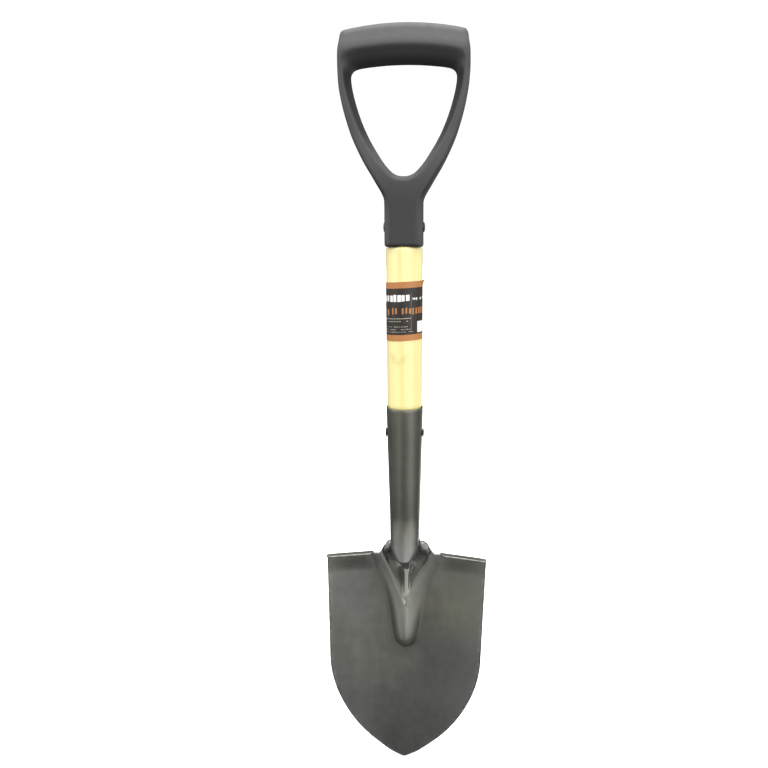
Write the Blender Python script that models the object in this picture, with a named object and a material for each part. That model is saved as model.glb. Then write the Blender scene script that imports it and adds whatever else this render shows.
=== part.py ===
"""Short D-grip digging shovel, built as its real pieces.

Frame: +Z up along the shaft, the loading face of the blade looks along -Y,
X runs across the treads.  The origin is the middle of the underside of the
grip bar, where the tool hangs on a peg.  Heights named H_* are measured up
from the blade point in millimetres; z = H - H_HANG.
"""
import math

import bmesh
import bpy

MM = 0.001

# ---- driving dimensions, millimetres -------------------------------------
H_HANG = 653.5          # underside of the grip bar above the blade point
H_BAR_TOP = 688.0       # crown of the grip bar
H_GRIP_RIM = 503.5      # lower rim of the grip neck
H_GRIP_RIVET = 521.0
H_BORE_TOP = 553.0      # blind end of the grip bore
H_SOCKET_RIM = 356.8
H_SOCKET_RIVET = 331.0
H_NECK = 222.0          # end of the straight taper of the socket
H_LIP = 208.0           # lower end of the forward swell
H_NOSE = 201.6          # lowest point of the closed socket end
H_TREAD = 213.0         # top of the treads
H_LABEL_LOW = 421.0
H_LABEL_TOP = 473.5

BLADE_T = 2.0           # blade sheet thickness
BLADE_HALF_TOP = 76.8   # half width at the treads
BLADE_HALF_LOW = 74.0   # half width where the point arcs begin
H_POINT_ARC = 114.0     # height where the point arcs begin
DISH_RADIUS = 216.0     # cross curvature of the pan
PAN_Y_TOP = -5.5        # pan centre line at the treads
PAN_Y_TIP = -32.0       # pan centre line at the point
PAN_ROLL = 1.8          # forward roll of the pan under the treads
PAN_SAG = 0.75          # lengthwise hollow of the pan

BEND_R = 1.5            # inner bend radius of the treads
TREAD_DEPTH = 6.8       # tread depth from pan face to free edge
TREAD_INNER = 32.5      # inner end of a tread from the middle

EAR_HALF = 26.4         # ears start this far from the middle
EAR_TOP = 213.8
EAR_IN = 14.0
LAP = 9.0               # rise of the sheet edge behind the tube

TONGUE_TOP = 212.0
TONGUE_TIP = 115.0
TONGUE_HALF = 13.0      # half width near the rounded end
TONGUE_FLARE = 24.0     # extra half width at the treads
TONGUE_RISE = 11.5
CHANNEL_HALF = 23.0
CHANNEL_END = 160.0
RIB_HALF = 2.5
RIB_TOP = 196.0

SOCKET_R_RIM = 17.35
SOCKET_R_NECK = 14.1
SOCKET_SWELL = 9.5      # forward swell of the tube at its closed end
SOCKET_WALL = 1.6
SEAM_GAP = 0.8
H_CAVITY = 226.0

SHAFT_R = 16.5
SHAFT_R_RIM = 16.4
TENON_R = 14.15
H_SHAFT_TOP = 551.5
H_SHAFT_LOW = 245.0
FIT_GAP = 0.35

BORE_R = 14.5
NECK_HALF = 17.0        # half width of the grip neck
NECK_DEPTH = 17.6       # half depth of the grip neck

PIN_R = 2.5
PIN_HOLE_R = 2.8
PIN_HEAD_R = 4.4
PIN_HEAD_H = 1.5

LABEL_T = 0.25
LABEL_LIFT = 0.25

WELD_X, WELD_Y, WELD_H = 17.7, -4.4, 214.4
WELD_LONG, WELD_WIDE, WELD_DEEP = 5.8, 2.3, 2.9
WELD_TILT = math.radians(25.0)


def zz(h):
    return (h - H_HANG) * MM


def clear_scene():
    for ob in list(bpy.data.objects):
        bpy.data.objects.remove(ob, do_unlink=True)


def material(name, colour, rough, metallic=0.0):
    mat = bpy.data.materials.new(name)
    mat.use_nodes = True
    bsdf = mat.node_tree.nodes["Principled BSDF"]
    bsdf.inputs["Base Color"].default_value = (*colour, 1.0)
    bsdf.inputs["Roughness"].default_value = rough
    bsdf.inputs["Metallic"].default_value = metallic
    return mat


def add_object(name, bm, mat):
    bmesh.ops.recalc_face_normals(bm, faces=bm.faces[:])
    mesh = bpy.data.meshes.new(name)
    bm.to_mesh(mesh)
    bm.free()
    mesh.shade_smooth()
    mesh.set_sharp_from_angle(angle=math.radians(35))
    ob = bpy.data.objects.new(name, mesh)
    bpy.context.scene.collection.objects.link(ob)
    if mat is not None:
        mesh.materials.append(mat)
    return ob


def smooth(a, b, x):
    t = min(1.0, max(0.0, (x - a) / (b - a)))
    return t * t * (3.0 - 2.0 * t)


def spline(points, per):
    """Closed Catmull-Rom curve through tuples, `per` steps on each span."""
    n = len(points)
    out = []
    for i in range(n):
        p0, p1, p2, p3 = (points[(i + k - 1) % n] for k in range(4))
        for s in range(per):
            t = s / per
            out.append(tuple(
                0.5 * (2 * b + (c - a) * t + (2 * a - 5 * b + 4 * c - d) * t * t
                       + (3 * b - a - 3 * c + d) * t ** 3)
                for a, b, c, d in zip(p0, p1, p2, p3)))
    return out


def piecewise(table, x):
    """Linear reading of a falling table of (height, value) stations."""
    if x >= table[0][0]:
        return table[0][1]
    for (h0, v0), (h1, v1) in zip(table, table[1:]):
        if x >= h1:
            return v0 + (v1 - v0) * (h0 - x) / (h0 - h1)
    return table[-1][1]


# ---- blade ----------------------------------------------------------------
BEND_H = H_TREAD - BEND_R - BLADE_T


def half_width(h):
    """Half width of the pan: straight sides, then two arcs to the point."""
    if h >= H_POINT_ARC:
        k = (h - H_POINT_ARC) / (BEND_H - H_POINT_ARC)
        return BLADE_HALF_LOW + (BLADE_HALF_TOP - BLADE_HALF_LOW) * min(1.0, k)
    r = (H_POINT_ARC ** 2 + BLADE_HALF_LOW ** 2) / (2.0 * BLADE_HALF_LOW)
    arc = math.sqrt(r * r - (H_POINT_ARC - h) ** 2) - (r - BLADE_HALF_LOW)
    blunt = 1.9 * math.exp(-((h - 5.0) / 7.0) ** 2) - 0.8 * math.exp(-((h - 55.0) / 28.0) ** 2)
    return max(0.0, arc + blunt * smooth(H_POINT_ARC, H_POINT_ARC - 20.0, h))


def pan_y(x, h):
    t = (BEND_H - h) / BEND_H
    y = PAN_Y_TOP + (PAN_Y_TIP - PAN_Y_TOP) * t + 4.0 * PAN_SAG * t * (1.0 - t)
    roll = smooth(BEND_H - 17.0, BEND_H, h) * smooth(27.0, 42.0, abs(x))
    roll *= 1.0 - 0.55 * smooth(52.0, 76.0, abs(x))
    return y - x * x / (2.0 * DISH_RADIUS) - PAN_ROLL * roll


def tongue(x, h):
    """Forward rise of the pressed tongue."""
    t = (TONGUE_TOP - h) / (TONGUE_TOP - TONGUE_TIP)
    if t >= 1.0:
        return 0.0
    tc = max(0.0, t)
    half = (TONGUE_HALF + TONGUE_FLARE * (1.0 - tc) ** 2.2) * math.sqrt(1.0 - tc ** 11)
    q = abs(x) / max(half, 0.01)
    rise = TONGUE_RISE * (0.22 + 0.78 * min(1.0, tc / 0.88) ** 1.3) * math.sqrt(1.0 - tc ** 11)
    # a rounded tent across, running out softly into the pan
    tent = 1.0 - 0.33 * q * q / math.sqrt(q * q + 0.006) - 0.67 * q ** 2.7
    return rise * 0.5 * (tent + math.sqrt(tent * tent + 0.03)) * (1.0 - smooth(1.1, 2.2, q))


def channel(x, h):
    """Share of the way from the tongue face to the channel floor."""
    half = CHANNEL_HALF * (h - CHANNEL_END) / (TONGUE_TOP - CHANNEL_END)
    half = min(half, CHANNEL_HALF)
    if half <= 0.05:
        return 0.0
    q = abs(x) / half
    low = smooth(198.0, 166.0, h)
    u_shape = 1.0 - smooth(0.34, 1.24, q)
    v_shape = 1.0 - smooth(-0.05, 1.35, q)
    return u_shape * (1.0 - low) + v_shape * low


def floor_y(h):
    crest = pan_y(0.0, CHANNEL_END) - tongue(0.0, CHANNEL_END)
    return piecewise(((226.0, 15.6), (220.0, 15.5), (212.0, 13.8), (205.0, 9.4),
                      (198.0, 4.2), (190.0, -0.8), (176.0, -8.6), (CHANNEL_END, crest)), h)


def shell_y(x, h):
    """Pan face with tongue and channel, without the middle rib."""
    base = pan_y(x, h) - tongue(x, h)
    c = channel(x, h)
    return base + (floor_y(h) - base) * c if c > 0.0 else base


def blade_front_y(x, h):
    y = shell_y(x, h)
    if CHANNEL_END - 1.0 < h < RIB_TOP:
        half = RIB_HALF + 1.6 * smooth(186.0, RIB_TOP, h) + 0.8 * smooth(176.0, CHANNEL_END, h)
        q = abs(x) / half
        crest = pan_y(0.0, CHANNEL_END) - tongue(0.0, CHANNEL_END)
        top = crest + (h - CHANNEL_END) * 0.26
        lift = (1.0 - smooth(0.55, 1.25, q)) * (1.0 - smooth(RIB_TOP - 4.0, RIB_TOP, h))
        lift *= smooth(CHANNEL_END - 1.0, CHANNEL_END + 12.0, h)
        y = y + (min(top, y) - y) * lift
    return y


def blade_back_y(x, h):
    e = 0.5
    sx = (shell_y(x + e, h) - shell_y(x - e, h)) / (2 * e)
    sz = (shell_y(x, h + e) - shell_y(x, h - e)) / (2 * e)
    grow = min(2.0, math.sqrt(1.0 + sx * sx + sz * sz))
    return shell_y(x, h) + BLADE_T * grow


def top_edge(x):
    """Height of the upper edge of the sheet at x."""
    ax = abs(x)
    if ax >= EAR_HALF:
        return BEND_H
    if ax <= EAR_IN:
        return EAR_TOP + LAP * (1.0 - smooth(8.6, EAR_IN, ax))
    k = (ax - EAR_IN) / (EAR_HALF - EAR_IN)
    return BEND_H + (EAR_TOP - BEND_H) * math.sqrt(1.0 - k * k)


def make_blade(mat):
    half_cols = [0.0, 1.0, 2.0, 3.0, 4.0, 5.2, 6.6, 8.0, 9.4, 10.8, 12.2, 13.6,
                 15.0, 16.6, 18.4, 20.4, 22.4, 24.4, EAR_HALF, 29.0, TREAD_INNER, 36.5, 41.0, 50.0, 59.0, 68.0,
                 BLADE_HALF_TOP]
    cols = [-c for c in reversed(half_cols[1:])] + half_cols
    rows_low = [199.0, 196.0, 194.0, 192.0, 189.0, 185.0, 181.0, 177.0, 173.0,
                169.0, 166.0, 163.0, CHANNEL_END, 157.0, 152.0, 145.0, 137.0,
                130.0, 124.0, 120.0, 118.0, 116.6, 115.6, H_POINT_ARC, 109.0,
                102.0, 88.0, 73.0, 58.0, 43.0, 30.0, 20.0, 12.5, 7.0, 3.5, 1.2]
    ear_rows = 6
    bm = bmesh.new()
    front, back = [], []

    def put(x, h, yf, yb):
        front.append(bm.verts.new((x * MM, yf * MM, zz(h))))
        back.append(bm.verts.new((x * MM, yb * MM, zz(h))))
        return len(front) - 1

    grid = []
    for k in range(ear_rows):
        line = []
        for x in cols:
            h = top_edge(x) + (rows_low[0] - top_edge(x)) * k / ear_rows
            xs = x * half_width(h) / BLADE_HALF_TOP
            line.append(put(xs, h, blade_front_y(xs, h), blade_back_y(xs, h)))
        grid.append(line)
    for h in rows_low:
        line = []
        for x in cols:
            xs = x * half_width(h) / BLADE_HALF_TOP
            line.append(put(xs, h, blade_front_y(xs, h), blade_back_y(xs, h)))
        grid.append(line)
    quads = []
    for upper, lower in zip(grid, grid[1:]):
        for j in range(len(cols) - 1):
            quads.append((upper[j], upper[j + 1], lower[j + 1], lower[j]))
    tip = put(0.0, 0.0, blade_front_y(0.0, 0.0), blade_back_y(0.0, 0.0))
    for j in range(len(cols) - 1):
        quads.append((grid[-1][j], grid[-1][j + 1], tip))

    # treads: the sheet bends forward through a right angle, then runs flat
    for side in (-1, 1):
        idx = [j for j, x in enumerate(cols) if x * side >= TREAD_INNER - 0.01]
        last = [grid[0][j] for j in idx]
        steps = [(a, 0.0) for a in (30.0, 60.0, 90.0)]
        steps.append((90.0, TREAD_DEPTH - BEND_R))
        for ang, run in steps:
            c, s = math.cos(math.radians(ang)), math.sin(math.radians(ang))
            line = []
            for j in idx:
                x = cols[j]
                yf, yb = blade_front_y(x, BEND_H), blade_back_y(x, BEND_H)
                axis = yf - BEND_R
                a = bm.verts.new((x * MM, (axis + BEND_R * c - run) * MM,
                                  zz(BEND_H + BEND_R * s)))
                b = bm.verts.new((x * MM, (axis + (yb - axis) * c - run) * MM,
                                  zz(BEND_H + (BEND_R + BLADE_T) * s)))
                front.append(a)
                back.append(b)
                line.append(len(front) - 1)
            for k in range(len(idx) - 1):
                quads.append((line[k], line[k + 1], last[k + 1], last[k]))
            last = line

    count = {}
    for q in quads:
        for a, b in zip(q, q[1:] + q[:1]):
            key = (min(a, b), max(a, b))
            count[key] = count.get(key, 0) + 1
    for q in quads:
        bm.faces.new([front[i] for i in q])
        bm.faces.new([back[i] for i in reversed(q)])
        for a, b in zip(q, q[1:] + q[:1]):
            if count[(min(a, b), max(a, b))] == 1:
                bm.faces.new((front[b], front[a], back[a], back[b]))
    bmesh.ops.triangulate(bm, faces=bm.faces[:])
    return add_object("blade", bm, mat)


# ---- lofted solids ---------------------------------------------------------
def loft(rings, close_loop=False, caps=True):
    """Solid from rings of equal point count, in metres."""
    bm = bmesh.new()
    rows = [[bm.verts.new(p) for p in ring] for ring in rings]
    n = len(rings[0])
    pairs = list(zip(rows, rows[1:]))
    if close_loop:
        pairs.append((rows[-1], rows[0]))
    for a, b in pairs:
        for k in range(n):
            bm.faces.new((a[k], a[(k + 1) % n], b[(k + 1) % n], b[k]))
    if caps and not close_loop:
        bm.faces.new(rows[0])
        bm.faces.new(list(reversed(rows[-1])))
    return bm


def circle(r, h, n, y0=0.0):
    return [(r * math.cos(2 * math.pi * k / n) * MM,
             (y0 + r * math.sin(2 * math.pi * k / n)) * MM, zz(h)) for k in range(n)]


def cutter(name, bm):
    ob = add_object(name, bm, None)
    ob.hide_render = True
    ob.display_type = "WIRE"
    return ob


def cross_pin_cutter(name, h, r, length=60.0, n=20):
    rings = []
    for x in (-length / 2, length / 2):
        rings.append([(x * MM, r * math.cos(2 * math.pi * k / n) * MM,
                       zz(h) + r * math.sin(2 * math.pi * k / n) * MM) for k in range(n)])
    return cutter(name, loft(rings))


def boolean(ob, other, op):
    mod = ob.modifiers.new(op.lower() + "_" + other.name, "BOOLEAN")
    mod.operation = op
    mod.solver = "EXACT"
    mod.object = other
    return mod


# ---- steel socket ----------------------------------------------------------
def socket_radius(h):
    k = (H_SOCKET_RIM - h) / (H_SOCKET_RIM - H_NECK)
    return SOCKET_R_RIM + (SOCKET_R_NECK - SOCKET_R_RIM) * k


def socket_half(h):
    if h >= H_NECK:
        return socket_radius(h)
    k = (H_NECK - h) / (H_NECK - H_NOSE)
    return SOCKET_R_NECK * max(0.0, 1.0 - k ** 2.4) ** 0.72


def socket_front(h):
    if h >= H_LIP:
        reach = min(1.0, max(0.0, (248.0 - h) / (248.0 - H_LIP)))
        return socket_radius(h) + SOCKET_SWELL * reach ** 1.5
    k = (H_LIP - h) / (H_LIP - H_NOSE)
    return 6.0 + (socket_radius(H_LIP) + SOCKET_SWELL - 6.0) * math.sqrt(max(0.0, 1.0 - k * k))


def socket_back(h):
    if h >= H_NECK:
        return socket_radius(h)
    k = (H_NECK - h) / (H_NECK - H_NOSE)
    return -6.0 + (SOCKET_R_NECK + 6.0) * math.sqrt(max(0.0, 1.0 - k * k))


def make_socket(mat, n=40):
    def ring(h):
        pts = []
        a, f, b = socket_half(h), socket_front(h), socket_back(h)
        for k in range(n):
            t = 2 * math.pi * k / n
            x, s = a * math.cos(t), math.sin(t)
            mid = 0.0 if h >= H_NECK else -6.0 * (H_NECK - h) / (H_NECK - H_NOSE)
            # the lower end is pressed flatter in front
            flat = s * (abs(s) + 1e-9) ** (-0.45 * smooth(256.0, 224.0, h))
            y = mid + (b - mid) * s if s >= 0 else mid + (f + mid) * flat
            pts.append((x * MM, y * MM, zz(h)))
        return pts

    outer = [ring(h) for h in (H_SOCKET_RIM, 300.0, 256.0, 248.0, 243.0, 238.0, 234.0, 230.0,
                               226.0, H_NECK, 219.0, 216.0, 213.0, 210.5, H_LIP,
                               206.0, 204.3, 203.0, 202.2, 201.8)]
    inner = [circle(socket_radius(h) - SOCKET_WALL, h, n)
             for h in (H_CAVITY, 300.0, H_SOCKET_RIM)]
    bm = bmesh.new()
    rows = [[bm.verts.new(p) for p in r] for r in inner + outer]
    for a, b in zip(rows, rows[1:]):
        for k in range(n):
            bm.faces.new((a[k], a[(k + 1) % n], b[(k + 1) % n], b[k]))
    bm.faces.new(rows[0])
    bm.faces.new(list(reversed(rows[-1])))
    ob = add_object("socket", bm, mat)
    hole = cross_pin_cutter("cut_socket_pin", H_SOCKET_RIVET, PIN_HOLE_R)
    boolean(ob, hole, "DIFFERENCE")
    g = SEAM_GAP / 2
    seam = loft([[(-g * MM, 8 * MM, zz(h)), (g * MM, 8 * MM, zz(h)),
                  (g * MM, 24 * MM, zz(h)), (-g * MM, 24 * MM, zz(h))]
                 for h in (236.0, 370.0)])
    boolean(ob, cutter("cut_socket_seam", seam), "DIFFERENCE")
    return ob


# ---- weld beads ------------------------------------------------------------
def make_weld(name, side, mat, n=24, m=14):
    """Leaning lobe in the corner between tube and ear, clear of both."""
    bm = bmesh.new()
    bmesh.ops.create_uvsphere(bm, u_segments=n, v_segments=m, radius=1.0)
    c, s = math.cos(WELD_TILT), math.sin(WELD_TILT)
    for v in bm.verts:
        lon, wid = WELD_LONG * v.co.z, WELD_WIDE * v.co.x
        x = WELD_X - lon * s + wid * c
        h = WELD_H + lon * c + wid * s
        v.co = (side * x * MM, (WELD_Y + WELD_DEEP * v.co.y) * MM, zz(h))
    bmesh.ops.recalc_face_normals(bm, faces=bm.faces[:])
    return add_object(name, bm, mat)


# ---- shaft -----------------------------------------------------------------
def make_shaft(mat, n=48):
    def tail(h):
        return socket_radius(h) - SOCKET_WALL - FIT_GAP
    profile = [(H_SHAFT_TOP, TENON_R - 1.2), (H_SHAFT_TOP - 1.2, TENON_R),
               (H_GRIP_RIM - 0.35, TENON_R), (H_GRIP_RIM - 0.35, SHAFT_R - 0.8),
               (H_GRIP_RIM - 1.2, SHAFT_R), (400.0, SHAFT_R),
               (H_SOCKET_RIM + 1.0, SHAFT_R_RIM), (H_SOCKET_RIM + 0.35, SHAFT_R_RIM - 0.6),
               (H_SOCKET_RIM - 1.3, tail(H_SOCKET_RIM)),
               (H_SHAFT_LOW + 2.0, tail(H_SHAFT_LOW)), (H_SHAFT_LOW, tail(H_SHAFT_LOW) - 2.0)]
    ob = add_object("shaft", loft([circle(r, h, n) for h, r in profile]), mat)
    for tag, h in (("grip", H_GRIP_RIVET), ("socket", H_SOCKET_RIVET)):
        boolean(ob, cross_pin_cutter("cut_shaft_" + tag, h, PIN_HOLE_R), "DIFFERENCE")
    return ob


# ---- D-grip ----------------------------------------------------------------
# stations of one half: inner edge (x, h), outer edge (x, h), half depth
GRIP_STATIONS = (
    (0.0, 653.5, 0.0, 687.7, 15.0),
    (16.0, 653.2, 18.0, 687.0, 15.0),
    (30.0, 652.2, 36.0, 685.2, 15.0),
    (39.6, 650.7, 48.4, 682.6, 14.8),
    (43.6, 648.2, 53.7, 677.8, 14.5),
    (44.8, 645.0, 55.9, 666.0, 14.0),
    (44.8, 640.5, 56.3, 653.0, 13.5),
    (44.0, 635.0, 55.3, 637.0, 13.0),
    (40.7, 622.0, 52.2, 620.5, 12.8),
    (36.2, 609.0, 47.7, 604.5, 12.8),
    (30.3, 596.0, 41.9, 589.5, 13.3),
    (22.7, 583.0, 34.7, 575.2, 14.3),
    (15.8, 573.0, 27.8, 563.4, 15.3),
    (8.2, 566.0, 19.4, 550.0, 16.0),
    (0.0, 564.0, 0.0, 543.0, 16.3),
)


def rounded(n_pts, power):
    out = []
    for k in range(n_pts):
        a = 2 * math.pi * k / n_pts
        c, s = math.cos(a), math.sin(a)
        out.append((math.copysign(abs(c) ** (2.0 / power), c),
                    math.copysign(abs(s) ** (2.0 / power), s)))
    return out


def make_grip(mat, per=2, k=16):
    left = [(-a, b, -c, d, e) for a, b, c, d, e in reversed(GRIP_STATIONS[1:-1])]
    stations = spline(list(GRIP_STATIONS) + left, per)
    shape = rounded(k, 2.6)
    rings = []
    for ix, ih, ox, oh, depth in stations:
        ring = []
        for c, s in shape:
            x = (ix + ox) / 2 + (ox - ix) / 2 * c
            h = (ih + oh) / 2 + (oh - ih) / 2 * c
            ring.append((x * MM, depth * s * MM, zz(h)))
        rings.append(ring)
    ob = add_object("d_grip", loft(rings, close_loop=True), mat)

    def neck(h, half, depth, cut):
        fx, fy = half - cut, depth - cut
        r = cut * 0.29
        pts = []
        for sx, sy in ((1, 1), (-1, 1), (-1, -1), (1, -1)):
            corner = [(sx * half, sy * fy), (sx * (half - r), sy * (depth - cut + r * 2.2)),
                      (sx * (half - cut + r * 2.2), sy * (depth - r)), (sx * fx, sy * depth)]
            pts += corner if sx * sy > 0 else corner[::-1]
        return [(x * MM, y * MM, zz(h)) for x, y in pts]

    stem = loft([neck(H_GRIP_RIM, NECK_HALF - 0.8, NECK_DEPTH - 0.8, 6.0),
                 neck(H_GRIP_RIM + 0.9, NECK_HALF, NECK_DEPTH, 6.0),
                 neck(543.0, NECK_HALF, NECK_DEPTH, 5.5),
                 neck(548.0, NECK_HALF + 1.0, NECK_DEPTH - 0.6, 4.5),
                 neck(556.0, 14.0, 15.4, 4.0),
                 neck(561.5, 8.0, 13.8, 4.0)])
    boolean(ob, cutter("add_grip_neck", stem), "UNION")
    bore = loft([circle(BORE_R, h, 48) for h in (H_GRIP_RIM - 10.0, H_BORE_TOP)])
    boolean(ob, cutter("cut_grip_bore", bore), "DIFFERENCE")
    boolean(ob, cross_pin_cutter("cut_grip_pin", H_GRIP_RIVET, PIN_HOLE_R), "DIFFERENCE")
    return ob


# ---- rivets and label ------------------------------------------------------
def make_rivet(name, h, seat, mat, n=20):
    """Through rivet along X with a domed head on each end."""
    half = [(seat, PIN_R), (seat, PIN_HEAD_R), (seat + 0.45, PIN_HEAD_R)]
    for a in (35.0, 65.0):
        t = math.radians(a)
        half.append((seat + 0.45 + (PIN_HEAD_H - 0.45) * math.sin(t),
                     PIN_HEAD_R * math.cos(t)))
    half.append((seat + PIN_HEAD_H, 0.5))
    profile = [(-x, r) for x, r in reversed(half)] + half
    rings = [[(x * MM, r * math.cos(2 * math.pi * k / n) * MM,
               zz(h) + r * math.sin(2 * math.pi * k / n) * MM) for k in range(n)]
             for x, r in profile]
    return add_object(name, loft(rings), mat)


def make_label(mat, n=44):
    """Film wrapped round the shaft with its ends meeting at the back."""
    ri = SHAFT_R + LABEL_LIFT
    ro = ri + LABEL_T
    gap = math.radians(2.0)
    rings = []
    for k in range(n + 1):
        a = math.pi / 2 + gap + (2 * math.pi - 2 * gap) * k / n
        rings.append([(r * math.cos(a) * MM, r * math.sin(a) * MM, zz(h))
                      for r, h in ((ri, H_LABEL_LOW), (ro, H_LABEL_LOW),
                                   (ro, H_LABEL_TOP), (ri, H_LABEL_TOP))])
    return add_object("label_wrap", loft(rings), mat)


def main():
    clear_scene()
    steel = material("coated_steel", (0.085, 0.087, 0.075), 0.45, 0.0)
    plastic = material("moulded_plastic", (0.045, 0.045, 0.045), 0.5)
    timber = material("lacquered_ash", (0.88, 0.78, 0.36), 0.4)
    film = material("label_film", (0.05, 0.045, 0.04), 0.35)
    rivet = material("rivet_steel", (0.09, 0.09, 0.085), 0.4, 0.6)
    make_blade(steel)
    make_socket(steel)
    make_weld("neck_weld_left", -1, steel)
    make_weld("neck_weld_right", 1, steel)
    make_shaft(timber)
    make_grip(plastic)
    make_rivet("grip_rivet", H_GRIP_RIVET, NECK_HALF + 0.35, rivet)
    make_rivet("socket_rivet", H_SOCKET_RIVET,
               socket_radius(H_SOCKET_RIVET) + 0.4, rivet)
    make_label(film)


main()
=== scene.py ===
import math

import bpy
import numpy as np
from mathutils import Matrix, Vector


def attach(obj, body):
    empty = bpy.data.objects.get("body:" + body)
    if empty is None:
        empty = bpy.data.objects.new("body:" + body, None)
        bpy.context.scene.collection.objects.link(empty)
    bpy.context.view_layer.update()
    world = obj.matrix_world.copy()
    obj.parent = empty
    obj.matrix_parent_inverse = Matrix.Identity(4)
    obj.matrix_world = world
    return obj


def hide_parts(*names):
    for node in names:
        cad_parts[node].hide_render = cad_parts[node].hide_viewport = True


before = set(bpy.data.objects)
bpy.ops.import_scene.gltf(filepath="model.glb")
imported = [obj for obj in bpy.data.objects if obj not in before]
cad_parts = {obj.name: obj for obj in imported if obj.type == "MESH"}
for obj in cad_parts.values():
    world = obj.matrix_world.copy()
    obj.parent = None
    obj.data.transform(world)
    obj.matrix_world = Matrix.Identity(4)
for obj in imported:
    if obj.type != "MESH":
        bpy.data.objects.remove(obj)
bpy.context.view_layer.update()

MM = 0.001
H_HANG = 653.5          # origin height above the blade point, mm
PI = math.pi


def zz(h):
    return (np.asarray(h, dtype=float) - H_HANG) * MM


def zz_f(h):
    return float(h - H_HANG) * MM


def smooth(a, b, x):
    t = np.clip((np.asarray(x, dtype=float) - a) / (b - a), 0.0, 1.0)
    return t * t * (3.0 - 2.0 * t)


def soft_table(hs, vs, blur):
    """Smooth reading of a table of heights and values."""
    hs, vs = np.array(hs, float), np.array(vs, float)
    order = np.argsort(hs)
    hs, vs = hs[order], vs[order]
    g = np.arange(hs[0] - 6 * blur, hs[-1] + 6 * blur, 0.25)
    raw = np.interp(g, hs, vs)
    k = np.arange(-3 * blur, 3 * blur + 0.25, 0.25)
    w = np.exp(-0.5 * (k / blur) ** 2)
    w /= w.sum()
    pad = len(w) // 2
    ext = np.concatenate([np.full(pad, raw[0]), raw, np.full(pad, raw[-1])])
    out = np.convolve(ext, w, mode="valid")[: len(g)]
    return lambda h: np.interp(h, g, out)


def spline(points, per, closed=True):
    """Catmull-Rom curve through points."""
    p = np.array(points, float)
    n = len(p)
    spans = n if closed else n - 1
    t = (np.arange(per) / per)[:, None]
    out = []
    for i in range(spans):
        if closed:
            a, b, c, d = (p[(i + k - 1) % n] for k in range(4))
        else:
            a, b, c, d = (p[min(max(i + k - 1, 0), n - 1)] for k in range(4))
        out.append(0.5 * (2 * b + (c - a) * t + (2 * a - 5 * b + 4 * c - d) * t ** 2
                          + (3 * b - a - 3 * c + d) * t ** 3))
    if not closed:
        out.append(p[-1:])
    return np.concatenate(out)


def make_object(name, verts, faces, mat, node, sharp=40.0):
    verts = np.asarray(verts, float)
    faces = [tuple(int(i) for i in f) for f in faces]
    # faces are wound so that the enclosed volume comes out positive
    tri = np.array([(f[0], f[k], f[k + 1]) for f in faces for k in range(1, len(f) - 1)])
    a, b, c = verts[tri[:, 0]], verts[tri[:, 1]], verts[tri[:, 2]]
    if np.einsum("ij,ij->i", a, np.cross(b, c)).sum() < 0:
        faces = [tuple(reversed(f)) for f in faces]
    mesh = bpy.data.meshes.new(name)
    mesh.from_pydata([tuple(v) for v in verts], [], faces)
    mesh.validate()
    mesh.materials.append(mat)
    mesh.shade_smooth()
    if sharp is not None:
        mesh.set_sharp_from_angle(angle=math.radians(sharp))
    ob = bpy.data.objects.new(name, mesh)
    bpy.context.scene.collection.objects.link(ob)
    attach(ob, "root")
    if node:
        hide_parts(node)
    return ob


def ring_faces(rows, n, closed_ring=True, first_cap=False, last_cap=False):
    """Quads between `rows` rings of n points, ring after ring."""
    faces = []
    m = n if closed_ring else n - 1
    for r in range(rows - 1):
        for k in range(m):
            k2 = (k + 1) % n
            faces.append((r * n + k, r * n + k2, (r + 1) * n + k2, (r + 1) * n + k))
    if first_cap:
        faces.append(tuple(reversed(range(n))))
    if last_cap:
        faces.append(tuple((rows - 1) * n + k for k in range(n)))
    return faces


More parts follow.
